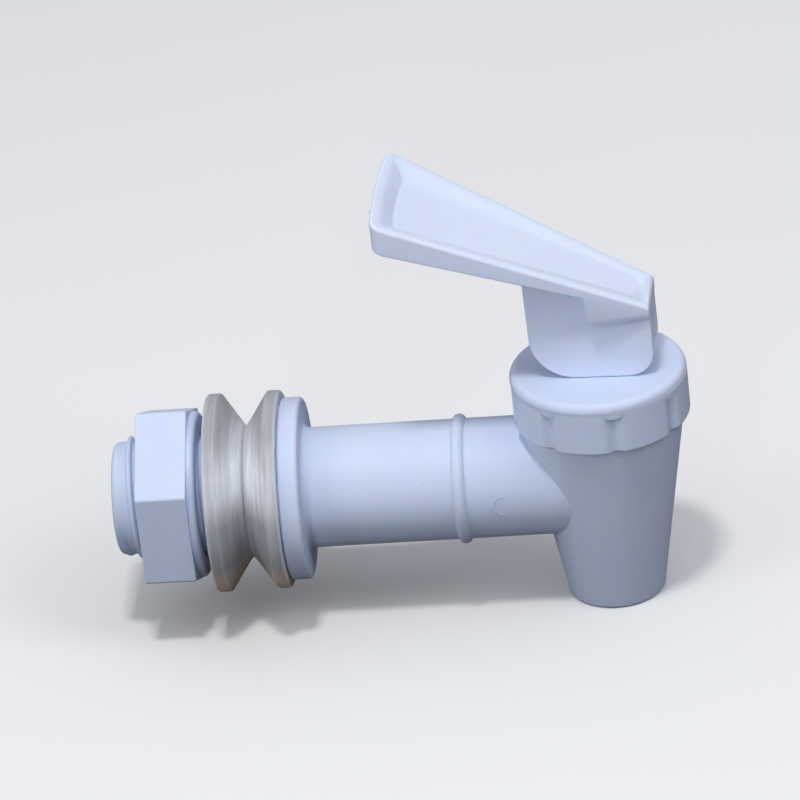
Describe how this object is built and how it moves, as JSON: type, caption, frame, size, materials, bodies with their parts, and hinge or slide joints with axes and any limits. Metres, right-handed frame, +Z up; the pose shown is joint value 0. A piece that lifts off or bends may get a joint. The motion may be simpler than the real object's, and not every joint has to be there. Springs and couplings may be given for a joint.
{
  "type": "water dispenser spigot",
  "caption": "Lever-operated plastic spigot with a threaded shank, lock nut, cone washers, grooved bonnet cap, silicone seat cup and a tapered spout.",
  "frame": {"origin": "centre of the flange's rear face, on the axis of the barrel, where the spigot meets the outside of the tank", "axes": "+X along the barrel from the tank towards the spout, +Z up, along the spout's axis against the flow, +Y to the left of someone who faces the spout from the tank"},
  "size_m": [0.0867, 0.0298, 0.0689],
  "materials": {
    "moulded_plastic": "smooth moulded, low gloss, bluish white",
    "washer_silicone": "translucent greyish silicone with fine turned streaks",
    "seat_silicone": "soft milky silicone",
    "spring_steel": "drawn stainless wire"
  },
  "bodies": {
    "tap": {"body": "moulded_plastic", "bonnet_cap": "moulded_plastic", "outer_washer": "washer_silicone"},
    "seat": {"seat_cup": "seat_silicone", "spring": "spring_steel"},
    "stem": {"stem": "moulded_plastic"},
    "lever": {"lever": "moulded_plastic"},
    "washer": {"inner_washer": "washer_silicone"},
    "nut": {"lock_nut": "moulded_plastic"}
  },
  "joints": [
    {"name": "stem_lift", "type": "slide", "parent": "tap", "child": "seat", "axis": [0, 0, 1], "range_m": [0, 0.0019], "deforming": ["seat_cup", "spring"]},
    {"name": "lever_swivel", "type": "hinge", "parent": "seat", "child": "stem", "pos_m": [0.048, 0, 0], "axis": [0, 0, 1], "continuous": true},
    {"name": "lever_tilt", "type": "hinge", "parent": "stem", "child": "lever", "pos_m": [0.048, 0, 0.0227], "axis": [-0.0523, -0.9986, 0], "range_deg": [0, 35], "stiffness_Nm_per_rad": 0.0037, "springref_deg": -75.06},
    {"name": "nut_travel", "type": "slide", "parent": "tap", "child": "washer", "axis": [-1, 0, 0], "range_m": [0, 0.008]},
    {"name": "nut_turn", "type": "hinge", "parent": "washer", "child": "nut", "pos_m": [-0.0162, 0, 0], "axis": [-1, 0, 0], "range_deg": [0, 1440]}
  ],
  "couplings": [
    {"joint": "stem_lift", "follows": "lever_tilt", "m_per_rad": 0.00305},
    {"joint": "nut_travel", "follows": "nut_turn", "m_per_rad": 0.00031831}
  ]
}
